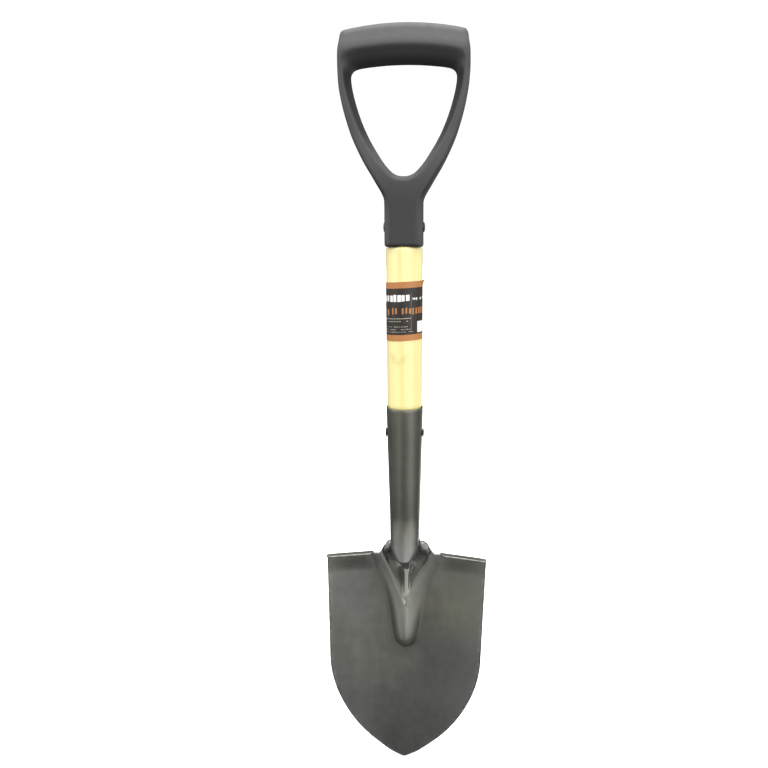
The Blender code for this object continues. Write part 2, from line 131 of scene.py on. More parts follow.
# ---------------------------------------------------------------------------
# materials
# ---------------------------------------------------------------------------
class Nodes:
    """Small helper for building a material's node tree."""

    def __init__(self, name):
        self.mat = bpy.data.materials.new(name)
        self.mat.use_nodes = True
        self.tree = self.mat.node_tree
        self.bsdf = self.tree.nodes["Principled BSDF"]
        self.coord = self.tree.nodes.new("ShaderNodeTexCoord")

    def new(self, kind, **props):
        node = self.tree.nodes.new(kind)
        for key, value in props.items():
            setattr(node, key, value)
        return node

    def link(self, a, b):
        self.tree.links.new(a, b)

    def mapped(self, scale, offset=(0, 0, 0), source="Object"):
        m = self.new("ShaderNodeMapping")
        m.inputs["Scale"].default_value = scale
        m.inputs["Location"].default_value = offset
        self.link(self.coord.outputs[source], m.inputs["Vector"])
        return m.outputs["Vector"]

    def noise(self, vector, scale, detail=4.0, rough=0.55, distort=0.0):
        n = self.new("ShaderNodeTexNoise")
        n.inputs["Scale"].default_value = scale
        n.inputs["Detail"].default_value = detail
        n.inputs["Roughness"].default_value = rough
        n.inputs["Distortion"].default_value = distort
        self.link(vector, n.inputs["Vector"])
        return n.outputs["Fac"]

    def ramp(self, fac, stops, interp="LINEAR"):
        r = self.new("ShaderNodeValToRGB")
        r.color_ramp.interpolation = interp
        e = r.color_ramp.elements
        while len(e) < len(stops):
            e.new(0.5)
        for el, (pos, col) in zip(e, stops):
            el.position = pos
            el.color = (*col, 1.0) if len(col) == 3 else col
        self.link(fac, r.inputs["Fac"])
        return r.outputs["Color"]

    def range(self, fac, lo, hi, to_lo, to_hi):
        m = self.new("ShaderNodeMapRange")
        m.inputs["From Min"].default_value = lo
        m.inputs["From Max"].default_value = hi
        m.inputs["To Min"].default_value = to_lo
        m.inputs["To Max"].default_value = to_hi
        self.link(fac, m.inputs["Value"])
        return m.outputs["Result"]

    def math(self, op, a, b=None, clamp=False):
        m = self.new("ShaderNodeMath", operation=op, use_clamp=clamp)
        for sock, v in zip(m.inputs, (a, b)):
            if v is None:
                continue
            if isinstance(v, (int, float)):
                sock.default_value = v
            else:
                self.link(v, sock)
        return m.outputs["Value"]

    def mix(self, fac, a, b, blend="MIX"):
        m = self.new("ShaderNodeMix", data_type="RGBA", blend_type=blend)
        for sock, v in ((m.inputs[0], fac), (m.inputs[6], a), (m.inputs[7], b)):
            if isinstance(v, (int, float)):
                sock.default_value = v
            elif isinstance(v, tuple):
                sock.default_value = (*v, 1.0)
            else:
                self.link(v, sock)
        return m.outputs[2]

    def bump(self, height, strength, distance, normal=None):
        b = self.new("ShaderNodeBump")
        b.inputs["Strength"].default_value = strength
        b.inputs["Distance"].default_value = distance
        self.link(height, b.inputs["Height"])
        if normal is not None:
            self.link(normal, b.inputs["Normal"])
        return b.outputs["Normal"]

    def split(self, vector):
        s = self.new("ShaderNodeSeparateXYZ")
        self.link(vector, s.inputs[0])
        return s.outputs


def steel_material():
    n = Nodes("coated_steel")
    obj = n.mapped((1, 1, 1))
    sx, sy, sz = n.split(obj)[:3]
    cloud = n.noise(obj, 15.0, 3.0, 0.5)
    mottle = n.noise(obj, 120.0, 4.0, 0.55)
    streak = n.noise(n.mapped((260, 260, 14)), 1.0, 3.0, 0.5)
    tint = n.noise(n.mapped((1, 1, 0.8), (3.1, 1.7, 0.4)), 12.0, 2.0, 0.45)
    base = n.ramp(cloud, [(0.30, (0.139, 0.140, 0.132)), (0.52, (0.154, 0.155, 0.147)),
                          (0.74, (0.170, 0.171, 0.163))])
    hue = n.ramp(tint, [(0.34, (1.0, 1.0, 0.83)), (0.50, (1.0, 1.0, 0.92)), (0.66, (1.0, 0.99, 1.02))])
    # darker and plain grey rather than olive towards the point
    low = n.range(n.math("ADD", sz, n.range(cloud, 0.3, 0.7, -0.03, 0.03)), zz_f(85.0), zz_f(160.0), 1.0, 0.0)
    hue = n.mix(low, hue, (0.79, 0.785, 0.80))
    hue = n.mix(n.range(sz, zz_f(212.0), zz_f(240.0), 0.0, 0.8), hue, (0.93, 0.925, 0.81))
    base = n.mix(1.0, base, hue, "MULTIPLY")
    fleck = n.ramp(mottle, [(0.34, (0.965, 0.965, 0.965)), (0.55, (1, 1, 1)), (0.72, (1.025, 1.025, 1.025))])
    base = n.mix(1.0, base, fleck, "MULTIPLY")
    line = n.ramp(streak, [(0.35, (0.975, 0.975, 0.975)), (0.65, (1.025, 1.025, 1.025))])
    base = n.mix(1.0, base, line, "MULTIPLY")
    # a darker streak down the front of the tube
    wander = n.range(n.noise(n.mapped((1, 1, 0.5), (0.2, 0.9, 0.0)), 55.0, 3.0, 0.55), 0.3, 0.7, -0.0024, 0.0024)
    sd = n.math("ABSOLUTE", n.math("ADD", n.math("ADD", sx, 0.0010), wander))
    mark = n.range(sd, 0.0008, 0.0042, 1.0, 0.0)
    mark = n.math("MULTIPLY", mark, n.math("MULTIPLY", n.range(sz, zz_f(238.0), zz_f(262.0), 0.0, 1.0),
                                           n.range(sz, zz_f(296.0), zz_f(322.0), 1.0, 0.0)))
    mark = n.math("MULTIPLY", mark, n.range(sy, -0.006, -0.012, 0.0, 1.0))
    base = n.mix(n.math("MULTIPLY", mark, 0.55), base, (0.075, 0.075, 0.066))
    # painted highlight on the raised tongue and the rib, painted light high in the channel and painted shade at its
    # low end
    painted_light_and_shade = n.new("ShaderNodeAttribute", attribute_name="painted_light_and_shade").outputs["Fac"]
    base = n.mix(1.0, base, n.range(painted_light_and_shade, -1.0, 0.0, 0.60, 1.0), "MULTIPLY")
    base = n.mix(1.0, base, n.range(painted_light_and_shade, 0.0, 1.0, 1.0, 1.18), "MULTIPLY")
    base = n.mix(1.0, base, n.range(painted_light_and_shade, 1.0, 2.0, 1.0, 1.90), "MULTIPLY")
    # coating rubbed thin along the sheet edges, and a painted highlight down the middle of the tongue and rib
    at = n.new("ShaderNodeAttribute", attribute_name="edge")
    edge_wear_and_crest_highlight = n.math("MULTIPLY", at.outputs["Fac"], n.range(n.noise(obj, 210.0, 4.0, 0.6), 0.38, 0.66, 0.0, 1.0))
    base = n.mix(n.math("MULTIPLY", edge_wear_and_crest_highlight, 0.55), base, (0.40, 0.40, 0.385))
    n.link(base, n.bsdf.inputs["Base Color"])
    rough = n.math("ADD", n.range(mottle, 0.3, 0.7, -0.025, 0.03), n.range(cloud, 0.3, 0.7, 0.27, 0.34))
    rough = n.math("ADD", rough, n.math("MULTIPLY", mark, 0.10))
    n.link(rough, n.bsdf.inputs["Roughness"])
    n.bsdf.inputs["Specular IOR Level"].default_value = 0.5
    n.bsdf.inputs["Metallic"].default_value = 0.70
    peel = n.noise(obj, 2300.0, 2.0, 0.5)
    wave = n.noise(obj, 60.0, 2.0, 0.5)
    nrm = n.bump(wave, 0.10, 0.0010)
    nrm = n.bump(peel, 0.10, 0.00008, nrm)
    n.link(nrm, n.bsdf.inputs["Normal"])
    return n.mat


def plastic_material():
    n = Nodes("moulded_plastic")
    obj = n.mapped((1, 1, 1))
    cloud = n.noise(obj, 22.0, 4.0, 0.55)
    fine = n.noise(obj, 1500.0, 3.0, 0.6)
    scuff = n.noise(n.mapped((320, 320, 60)), 1.0, 4.0, 0.65, 0.4)
    base = n.ramp(cloud, [(0.3, (0.033, 0.033, 0.0333)), (0.7, (0.039, 0.039, 0.0393))])
    base = n.mix(n.range(scuff, 0.60, 0.80, 0.0, 0.35), base, (0.04, 0.04, 0.04))
    # painted light and shade by height: the arms painted paler than the neck, the top of the bar a little darker
    # again
    up = n.split(obj)[2]
    tone = n.math("MULTIPLY", n.range(up, -0.102, -0.070, 0.74, 1.42), n.range(up, -0.024, 0.004, 1.0, 0.80))
    base = n.mix(1.0, base, tone, "MULTIPLY")
    # painted shade on the bevels towards the opening, which are also made less shiny
    inner = n.new("ShaderNodeAttribute", attribute_name="inner").outputs["Fac"]
    base = n.mix(1.0, base, n.range(inner, 0.0, 1.0, 1.0, 0.38), "MULTIPLY")
    # painted light along the long corners of the neck
    corner = n.new("ShaderNodeAttribute", attribute_name="corner").outputs["Fac"]
    base = n.mix(1.0, base, n.range(corner, 0.0, 1.0, 1.0, 1.75), "MULTIPLY")
    n.link(n.range(inner, 0.0, 1.0, 0.44, 0.20), n.bsdf.inputs["Specular IOR Level"])
    n.link(base, n.bsdf.inputs["Base Color"])
    rough = n.math("ADD", n.range(fine, 0.3, 0.7, -0.04, 0.04), n.range(scuff, 0.3, 0.8, 0.48, 0.58))
    n.link(rough, n.bsdf.inputs["Roughness"])
    yy = n.split(obj)[1]
    seam = n.range(n.math("ABSOLUTE", yy), 0.00015, 0.00045, 1.0, 0.0)
    nrm = n.bump(seam, 0.35, 0.00025)
    nrm = n.bump(fine, 0.22, 0.00018, nrm)
    n.link(nrm, n.bsdf.inputs["Normal"])
    return n.mat


def wood_material():
    n = Nodes("lacquered_ash")
    obj = n.mapped((1, 1, 1))
    warp = n.noise(n.mapped((30, 30, 4.0)), 1.0, 3.0, 0.5)
    grain = n.noise(n.mapped((420, 420, 7)), 1.0, 4.0, 0.6, 0.6)
    pore = n.noise(n.mapped((1500, 1500, 26)), 1.0, 2.0, 0.5)
    sx, sy, sz = n.split(obj)[:3]
    rings = n.new("ShaderNodeTexWave", wave_type="BANDS", bands_direction="X", wave_profile="SIN")
    rings.inputs["Scale"].default_value = 26.0
    rings.inputs["Distortion"].default_value = 7.0
    rings.inputs["Detail"].default_value = 3.0
    rings.inputs["Detail Scale"].default_value = 0.8
    n.link(n.mapped((1.0, 0.7, 0.06)), rings.inputs["Vector"])
    base = n.ramp(rings.outputs["Fac"], [(0.0, (0.860, 0.745, 0.330)), (0.5, (0.895, 0.800, 0.365)),
                                         (1.0, (0.900, 0.815, 0.385))])
    tone = n.ramp(warp, [(0.3, (0.97, 0.96, 0.93)), (0.7, (1.02, 1.03, 1.05))])
    base = n.mix(1.0, base, tone, "MULTIPLY")
    line = n.ramp(grain, [(0.34, (0.955, 0.935, 0.89)), (0.52, (1, 1, 1)), (0.7, (1.015, 1.015, 1.015))])
    base = n.mix(0.8, base, line, "MULTIPLY")
    pores = n.range(pore, 0.30, 0.42, 0.12, 0.0)
    base = n.mix(pores, base, (0.62, 0.46, 0.19))
    # a faint knot on the front, a little left of the middle: two slanting wings
    kx = n.math("ADD", sx, 0.0042)
    kz = n.math("ADD", sz, (H_HANG - 401.0) * MM)
    wob = n.range(n.noise(obj, 150.0, 2.0), 0.3, 0.7, -0.0022, 0.0022)
    arm = n.math("SUBTRACT", n.math("ADD", kz, wob), n.math("MULTIPLY", n.math("ABSOLUTE", kx), 0.55))
    bar = n.range(n.math("ABSOLUTE", arm), 0.0012, 0.0052, 1.0, 0.0)
    wide = n.range(n.math("ABSOLUTE", kx), 0.0055, 0.0105, 1.0, 0.0)
    front = n.range(sy, -0.004, -0.010, 0.0, 1.0)
    knot = n.math("MULTIPLY", n.math("MULTIPLY", bar, wide), front)
    base = n.mix(n.math("MULTIPLY", knot, 0.42), base, (0.66, 0.54, 0.20))
    n.link(base, n.bsdf.inputs["Base Color"])
    n.link(n.range(grain, 0.3, 0.7, 0.42, 0.32), n.bsdf.inputs["Roughness"])
    n.bsdf.inputs["Coat Weight"].default_value = 0.30
    n.bsdf.inputs["Coat Roughness"].default_value = 0.24
    nrm = n.bump(grain, 0.08, 0.0004)
    nrm = n.bump(pore, 0.06, 0.0002, nrm)
    n.link(nrm, n.bsdf.inputs["Normal"])
    return n.mat


def rivet_material():
    n = Nodes("rivet_steel")
    obj = n.mapped((1, 1, 1))
    spot = n.noise(obj, 420.0, 4.0, 0.6)
    base = n.ramp(spot, [(0.3, (0.045, 0.044, 0.040)), (0.7, (0.085, 0.083, 0.076))])
    n.link(base, n.bsdf.inputs["Base Color"])
    n.link(n.range(spot, 0.3, 0.7, 0.32, 0.5), n.bsdf.inputs["Roughness"])
    n.bsdf.inputs["Metallic"].default_value = 0.55
    n.link(n.bump(spot, 0.2, 0.0003), n.bsdf.inputs["Normal"])
    return n.mat


def label_material():
    """Plain printed film: bands, rows of blocks, dashes and a blank patch, laid out by UV."""
    n = Nodes("label_film")
    u, v = n.split(n.coord.outputs["UV"])[:2]
    orange, black = (0.44, 0.185, 0.060), (0.022, 0.017, 0.014)
    white, cream = (0.86, 0.85, 0.82), (0.50, 0.47, 0.36)

    def band(value, lo, hi, edge=0.004):
        a = n.range(value, lo - edge, lo + edge, 0.0, 1.0)
        b = n.range(value, hi - edge, hi + edge, 1.0, 0.0)
        return n.math("MULTIPLY", a, b)

    def chance(value, seed):
        w = n.new("ShaderNodeTexWhiteNoise", noise_dimensions="1D")
        n.link(n.math("ADD", n.math("FLOOR", value), seed), w.inputs["W"])
        return w.outputs["Value"]

    def row(u0, u1, v0, v1, count, seed, fill, ragged, keep):
        """Row of plain upright blocks of uneven width and height."""
        cell = n.math("MULTIPLY", u, count)
        part = n.math("FRACT", cell)
        width = n.math("ADD", n.math("MULTIPLY", chance(cell, seed), 0.30), fill)
        on = n.math("MULTIPLY", n.math("LESS_THAN", part, width), n.math("GREATER_THAN", part, 0.06))
        on = n.math("MULTIPLY", on, n.math("GREATER_THAN", chance(cell, seed + 7.0), 1.0 - keep))
        lo_v = n.math("ADD", n.math("MULTIPLY", chance(cell, seed + 13.0), ragged), v0)
        hi_v = n.math("SUBTRACT", v1, n.math("MULTIPLY", chance(cell, seed + 19.0), ragged))
        tall = n.math("MULTIPLY", n.math("GREATER_THAN", v, lo_v), n.math("LESS_THAN", v, hi_v))
        return n.math("MULTIPLY", n.math("MULTIPLY", on, tall), band(u, u0, u1, 0.001))

    # u runs 0..1 round the shaft, 0.5 at the front; v runs 0..1 upwards
    col = n.mix(band(v, 0.105, 0.895), orange, black)
    col = n.mix(row(0.10, 0.552, 0.665, 0.792, 27.0, 3.0, 0.66, 0.022, 1.0), col, white)
    col = n.mix(row(0.580, 0.760, 0.682, 0.742, 44.0, 29.0, 0.60, 0.020, 0.9), col, white)
    col = n.mix(row(0.20, 0.735, 0.438, 0.575, 33.0, 47.0, 0.52, 0.030, 0.88), col, orange)
    for k, (u0, u1, v0, v1) in enumerate(((0.12, 0.565, 0.376, 0.390), (0.12, 0.540, 0.330, 0.343),
                                          (0.12, 0.535, 0.238, 0.250), (0.12, 0.560, 0.192, 0.204),
                                          (0.12, 0.600, 0.150, 0.160))):
        col = n.mix(n.math("MULTIPLY", row(u0, u1, v0, v1, 46.0, 61.0 + 31.0 * k, 0.72, 0.002, 0.86), 0.8),
                    col, cream)
    fold = n.math("MULTIPLY", band(u, 0.564, 0.569, 0.0015), band(v, 0.15, 0.80))
    col = n.mix(n.math("MULTIPLY", fold, 0.22), col, cream)
    blank = n.math("MULTIPLY", band(u, 0.628, 0.725, 0.002), band(v, 0.130, 0.320, 0.003))
    col = n.mix(blank, col, white)
    obj = n.mapped((1, 1, 1))
    wear = n.noise(obj, 260.0, 4.0, 0.6)
    col = n.mix(n.range(wear, 0.62, 0.8, 0.0, 0.12), col, (0.5, 0.46, 0.4))
    n.link(col, n.bsdf.inputs["Base Color"])
    n.link(n.range(wear, 0.3, 0.7, 0.30, 0.44), n.bsdf.inputs["Roughness"])
    n.bsdf.inputs["Specular IOR Level"].default_value = 0.38
    n.link(n.bump(n.noise(obj, 90.0, 2.0), 0.10, 0.0008), n.bsdf.inputs["Normal"])
    return n.mat


STEEL = steel_material()
PLASTIC = plastic_material()
WOOD = wood_material()
RIVET = rivet_material()
FILM = label_material()

# ---------------------------------------------------------------------------
# blade
# ---------------------------------------------------------------------------
BLADE_T = 2.0
RIM = 0.7                       # bulge of the rounded sheet edge
HALF_TOP, HALF_LOW, H_ARC = 76.8 - RIM, 74.0 - RIM, 114.0
BEND_R = 1.5
H_TREAD = 213.0
BEND_H = H_TREAD - BEND_R - BLADE_T
TREAD_DEPTH = 6.8 - RIM
TREAD_INNER = 32.5 + RIM
EAR_HALF, EAR_TOP, EAR_IN, LAP = 26.4, 213.8 - RIM, 14.0, 9.0
T_TOP, T_TIP, T_HALF, T_RISE = 212.0, 115.0, 13.0, 11.5
CH_HALF, CH_END = 23.0, 157.0
RIB_HALF, RIB_TOP = 2.5, 196.0
TIP_H = RIM * 1.1


def half_width(h):
    h = np.asarray(h, float)
    k = np.clip((h - H_ARC) / (BEND_H - H_ARC), 0.0, 1.0)
    straight = HALF_LOW + (HALF_TOP - HALF_LOW) * k
    hh = H_ARC - TIP_H
    r = (hh ** 2 + HALF_LOW ** 2) / (2.0 * HALF_LOW)
    arc = np.sqrt(np.maximum(r * r - (H_ARC - h) ** 2, 0.0)) - (r - HALF_LOW)
    blunt = 1.9 * np.exp(-(((h - 5.0) / 7.0) ** 2)) - 0.8 * np.exp(-(((h - 55.0) / 28.0) ** 2))
    return np.where(h >= H_ARC, straight, np.maximum(arc + blunt * smooth(H_ARC, H_ARC - 20.0, h), 0.0))


def pan_y(x, h):
    t = (BEND_H - h) / BEND_H
    roll = smooth(BEND_H - 17.0, BEND_H, h) * smooth(27.0, 42.0, np.abs(x)) * (1.0 - 0.55 * smooth(52.0, 76.0, np.abs(x)))
    return -5.5 - 26.5 * t + 3.0 * t * (1.0 - t) - x * x / 432.0 - 1.8 * roll


def tongue(x, h):
    t = (T_TOP - h) / (T_TOP - T_TIP)
    tc = np.clip(t, 0.0, 0.99999)
    half = (T_HALF + 24.0 * (1.0 - tc) ** 2.2) * np.sqrt(1.0 - tc ** 11)
    q = np.abs(x) / np.maximum(half, 0.01)
    rise = T_RISE * (0.22 + 0.78 * np.clip(tc / 0.88, 0.0, 1.0) ** 1.3) * np.sqrt(1.0 - tc ** 11)
    # a rounded tent across, with a crest, running out softly into the pan
    bow = 0.06 + 0.50 * smooth(-1.0, 1.0, x)
    tent = 1.0 - bow * q * q / np.sqrt(q * q + 0.006) - (1.0 - bow) * q ** (3.2 + 0.1 * smooth(-1.0, 1.0, x))
    roof = 0.5 * (tent + np.sqrt(tent * tent + 0.03)) * (1.0 - smooth(1.1, 2.2, q))
    return np.where(t >= 1.0, 0.0, rise * roof)


CREST = float(pan_y(0.0, CH_END) - tongue(0.0, CH_END))
FLOOR = soft_table((226.0, 220.0, 212.0, 205.0, 198.0, 190.0, 176.0, CH_END, 140.0),
                   (15.6, 15.5, 13.8, 9.4, 4.2, -0.8, -8.6, CREST, CREST - 2.0), 2.0)


def channel(x, h):
    end = CH_END + 9.0 * smooth(-2.0, 2.0, x)
    half = np.clip(CH_HALF * (h - end) / (T_TOP - end), 0.05, CH_HALF)
    q = np.abs(x) / half
    low = smooth(198.0, 166.0, h)
    # steep under a tight rim, easing out to the floor
    w = 1.0 - q / 1.05
    w = np.clip(0.5 * (w + np.sqrt(w * w + 0.004)), 0.0, 1.0)
    u_shape = 1.0 - (1.0 - w) ** 2.4
    v_shape = w ** 1.12
    share = u_shape * (1.0 - low) + v_shape * low
    return np.where(h <= CH_END + 0.1, 0.0, share)


def shell_y(x, h):
    base = pan_y(x, h) - tongue(x, h)
    return base + (FLOOR(h) - base) * channel(x, h)


def front_y(x, h):
    y = shell_y(x, h)
    half = RIB_HALF + 1.6 * smooth(186.0, RIB_TOP, h) + 0.8 * smooth(176.0, CH_END, h)
    q = np.abs(x) / half
    top = CREST + (h - CH_END) * 0.26
    lift = (1.0 - smooth(0.55, 1.55, q)) * (1.0 - smooth(RIB_TOP - 2.5, RIB_TOP + 2.0, h))
    lift = np.where(h < RIB_TOP + 2.0, lift * smooth(CH_END - 1.0, CH_END + 12.0, h), 0.0)
    return y + (np.minimum(top, y) - y) * lift


def back_y(x, h):
    e = 0.4
    sx = (shell_y(x + e, h) - shell_y(x - e, h)) / (2 * e)
    sz = (shell_y(x, h + e) - shell_y(x, h - e)) / (2 * e)
    grow = np.minimum(2.0, np.sqrt(1.0 + sx * sx + sz * sz))
    return shell_y(x, h) + BLADE_T * grow


def top_edge(x):
    ax = np.abs(x)
    k = np.clip((ax - EAR_IN) / (EAR_HALF - EAR_IN), 0.0, 1.0)
    # behind the tube the edge climbs into a lap
    return BEND_H + (EAR_TOP - BEND_H) * np.sqrt(1.0 - k * k) + LAP * (1.0 - smooth(8.6, 14.2, np.abs(x + 2.2) - 1.4 * smooth(-4.0, 2.0, x)))


LEAN = math.radians(0.6)        # the head sits a touch askew on the tube


def leaned(verts):
    """Turn points about the blade point, in the plane of the blade."""
    v = np.array(verts, float)
    x, z = v[:, 0].copy(), v[:, 2] - zz_f(0.0)
    v[:, 0] = x * math.cos(LEAN) + z * math.sin(LEAN)
    v[:, 2] = zz_f(0.0) + z * math.cos(LEAN) - x * math.sin(LEAN)
    return v


def sheet_solid(front, back, quads, bulge, steps=4):
    """Closed thin solid with a rounded rim from matching front and back points."""
    front, back = np.array(front), np.array(back)
    n = len(front)
    count = {}
    for q in quads:
        for a, b in zip(q, q[1:] + q[:1]):
            count[(a, b)] = count.get((a, b), 0) + 1
    border = [(a, b) for (a, b) in count if (b, a) not in count]
    out = np.zeros_like(front)
    for a, b in border:
        t = (front[b] + back[b] - front[a] - back[a]) * 0.5
        nrm = (front[a] - back[a]) + (front[b] - back[b])
        o = np.cross(t, nrm)
        o /= np.linalg.norm(o) + 1e-12
        out[a] += o
        out[b] += o
    used = sorted({i for e in border for i in e})
    lens = np.linalg.norm(out[used], axis=1)
    out[used] /= np.maximum(lens, 1e-9)[:, None]
    verts = [front, back]
    index = {}
    base = 2 * n
    extra = []
    for s in range(1, steps + 1):
        a = PI * s / (steps + 1)
        c, d = math.cos(a), math.sin(a)
        c = math.copysign(abs(c) ** 0.75, c)
        d = abs(d) ** 0.75
        for i in used:
            mid = (front[i] + back[i]) * 0.5
            extra.append(mid + (front[i] - back[i]) * 0.5 * c + out[i] * bulge * d)
            index[(s, i)] = base
            base += 1
    faces = [tuple(q) for q in quads] + [tuple(n + i for i in reversed(q)) for q in quads]
    for a, b in border:
        chain_a = [a] + [index[(s, a)] for s in range(1, steps + 1)] + [n + a]
        chain_b = [b] + [index[(s, b)] for s in range(1, steps + 1)] + [n + b]
        for k in range(steps + 1):
            faces.append((chain_b[k], chain_a[k], chain_a[k + 1], chain_b[k + 1]))
    return np.concatenate(verts + [np.array(extra)]), faces


def build_blade():
    half = np.concatenate([np.arange(0.0, 3.2, 0.4), np.arange(3.2, 30.0, 0.7),
                           np.linspace(30.2, TREAD_INNER, 4),
                           np.linspace(TREAD_INNER, HALF_TOP, 24)[1:]])
    cols = np.concatenate([-half[:0:-1], half])
    nc = len(cols)
    top = top_edge(cols)
    low0 = 199.0
    rows_x, rows_h = [], []
    ear_rows = 22
    for k in range(ear_rows):
        h = top + (low0 - top) * (k / ear_rows)
        rows_x.append(cols * half_width(h) / HALF_TOP)
        rows_h.append(h)
    lows = np.concatenate([np.arange(low0, 150.0, -0.7), np.arange(150.0, 110.0, -0.9),
                           np.linspace(110.0, 30.0, 40), np.linspace(28.5, TIP_H + 0.35, 22)])
    for h in lows:
        hh = np.full(nc, h)
        rows_x.append(cols * half_width(hh) / HALF_TOP)
        rows_h.append(hh)
    X, H = np.array(rows_x), np.array(rows_h)
    F, B = front_y(X, H), back_y(X, H)
    front = list(np.stack([X.ravel() * MM, F.ravel() * MM, zz(H).ravel()], 1))
    back = list(np.stack([X.ravel() * MM, B.ravel() * MM, zz(H).ravel()], 1))
    quads = []
    nr = len(X)
    for r in range(nr - 1):
        for j in range(nc - 1):
            a = r * nc + j
            quads.append((a, a + nc, a + nc + 1, a + 1))
    tip = len(front)
    zero = np.zeros(1)
    th = np.full(1, TIP_H)
    front.append(np.array([0.0, front_y(zero, th)[0] * MM, zz(TIP_H)]))
    back.append(np.array([0.0, back_y(zero, th)[0] * MM, zz(TIP_H)]))
    for j in range(nc - 1):
        a = (nr - 1) * nc + j
        quads.append((a, tip, a + 1))
    # treads bend forward through a right angle and run flat to a free edge
    for side in (-1, 1):
        idx = [j for j in range(nc) if cols[j] * side >= TREAD_INNER - 0.01]
        last = [j for j in idx]
        steps = [(a, 0.0) for a in np.linspace(0, 90, 9)[1:]]
        steps += [(90.0, r) for r in np.linspace(0, TREAD_DEPTH - BEND_R, 6)[1:]]
        for ang, run in steps:
            c, s = math.cos(math.radians(ang)), math.sin(math.radians(ang))
            line = []
            full = run
            for j in idx:
                ax = abs(cols[j])
                near = min(1.0, (HALF_TOP - ax) / 5.0, (ax - TREAD_INNER) / 4.0)
                run = full * (0.30 + 0.70 * math.sqrt(max(0.0, 1.0 - (1.0 - near) ** 2)))
                x = np.array([cols[j]])
                hb = np.array([BEND_H])
                yf, yb = front_y(x, hb)[0], back_y(x, hb)[0]
                axis = yf - BEND_R
                front.append(np.array([cols[j] * MM, (axis + BEND_R * c - run) * MM,
                                       zz(BEND_H + BEND_R * s)]))
                back.append(np.array([cols[j] * MM, (axis + (yb - axis) * c - run) * MM,
                                      zz(BEND_H + (BEND_R + BLADE_T) * s)]))
                line.append(len(front) - 1)
            for k in range(len(idx) - 1):
                quads.append((line[k], last[k], last[k + 1], line[k + 1]))
            last = line
    verts, faces = sheet_solid(front, back, quads, RIM * MM)
    ob = make_object("blade_pressing", leaned(verts), faces, STEEL, "blade", 50.0)
    # how near each point lies to the free rim, for the rubbed edges, and a painted highlight down the middle of the
    # tongue and rib
    rim = np.ones(len(verts))
    h = verts[:, 2] / MM + H_HANG
    inset = half_width(h) - np.abs(verts[:, 0]) / MM
    body = 2 * len(front)
    rim[:body] = np.exp(-np.maximum(inset[:body], 0.0) / 1.4)
    ax = np.abs(verts[:body, 0]) / MM
    # painted highlight down the middle of the tongue and rib
    crest = np.exp(-((ax / 2.2) ** 2)) * smooth(112.0, 130.0, h[:body]) * smooth(200.0, 192.0, h[:body])
    rim[:body] = np.maximum(rim[:body], 0.22 * crest)
    # painted light and shade on the blade: a painted highlight on the raised tongue and the rib, painted light high
    # in the channel, painted shade at its low end
    xs = verts[:body, 0] / MM
    share = channel(xs, h[:body])
    spare = np.maximum(smooth(2.4, 4.4, ax), smooth(197.0, 200.0, h[:body]))
    hollow = smooth(0.003, 0.03, share) * spare
    painted_light_and_shade = np.zeros(len(verts))
    rise = h[:body] + 11.0 * smooth(-1.0, 1.0, xs)
    deep = smooth(0.06, 0.32, share) * smooth(182.0, 200.0, rise)
    painted_light_and_shade[:body] = smooth(3.5, 9.0, tongue(xs, h[:body])) * (1.0 - smooth(0.0, 0.02, share))
    painted_light_and_shade[:body] += hollow * ((2.1 + 0.9 * smooth(193.0, 203.0, h[:body])) * deep - 1.0)
    painted_light_and_shade[:body] += 1.3 * (1.0 - spare) * smooth(0.05, 0.15, share)
    at = ob.data.attributes.new("painted_light_and_shade", "FLOAT", "POINT")
    at.data.foreach_set("value", painted_light_and_shade)
    at = ob.data.attributes.new("edge", "FLOAT", "POINT")
    at.data.foreach_set("value", rim)
    return ob


# ---------------------------------------------------------------------------
# socket
# ---------------------------------------------------------------------------
H_RIM, H_NECK, H_NOSE = 356.8, 222.0, 201.6
SWELL, H_LIP = 9.5, 208.0


def socket_radius(h):
    return 17.35 - 3.25 * (H_RIM - np.asarray(h, float)) / (H_RIM - H_NECK)


def socket_half(h):
    h = np.asarray(h, float)
    k = np.clip((H_NECK - h) / (H_NECK - H_NOSE), 0.0, 1.0)
    return np.where(h >= H_NECK, socket_radius(h), 14.1 * (1.0 - k ** 2.4) ** 0.72)


def socket_front(h):
    h = np.asarray(h, float)
    swell = SWELL * np.clip((248.0 - h) / (248.0 - H_LIP), 0.0, 1.0) ** 1.5
    k = np.clip((H_LIP - h) / (H_LIP - H_NOSE), 0.0, 1.0)
    nose = 6.0 + (float(socket_radius(H_LIP)) + SWELL - 6.0) * np.sqrt(1.0 - k * k)
    return np.where(h >= H_LIP, socket_radius(h) + swell, nose)


def socket_back(h):
    h = np.asarray(h, float)
    k = np.clip((H_NECK - h) / (H_NECK - H_NOSE), 0.0, 1.0)
    return np.where(h >= H_NECK, socket_radius(h), -6.0 + 20.1 * np.sqrt(1.0 - k * k))


